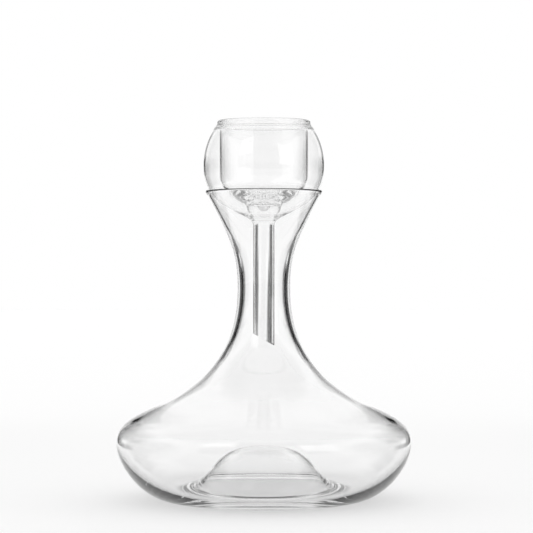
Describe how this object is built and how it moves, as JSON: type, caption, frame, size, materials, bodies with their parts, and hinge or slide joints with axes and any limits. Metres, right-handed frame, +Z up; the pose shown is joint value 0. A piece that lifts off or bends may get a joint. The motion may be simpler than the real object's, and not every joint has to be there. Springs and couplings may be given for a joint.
{
  "type": "wine carafe",
  "caption": "Clear blown-glass wine carafe with a waisted neck, wide flat body and domed base; a hollow-walled aerating funnel with a slant-cut drain stem lifts out of its mouth.",
  "frame": {"origin": "on the table plane, under the middle of the foot ring", "axes": "+Z up along the common axis of carafe and funnel; the picture looks along +Y; the long side of the stem's slanted tip is at +X"},
  "size_m": [0.2, 0.2, 0.2574],
  "materials": {
    "carafe_glass": "blown, fire polished, clear",
    "funnel_glass": "lampworked borosilicate, fire polished, clear"
  },
  "bodies": {
    "vessel": {"carafe": "carafe_glass"},
    "funnel": {"funnel_bulb": "funnel_glass", "funnel_cup": "funnel_glass", "funnel_drain_cone": "funnel_glass", "funnel_stem": "funnel_glass"}
  },
  "joints": [
    {"name": "funnel_lift", "type": "slide", "parent": "vessel", "child": "funnel", "axis": [0, 0, 1], "range_m": [0, 0.115]}
  ]
}
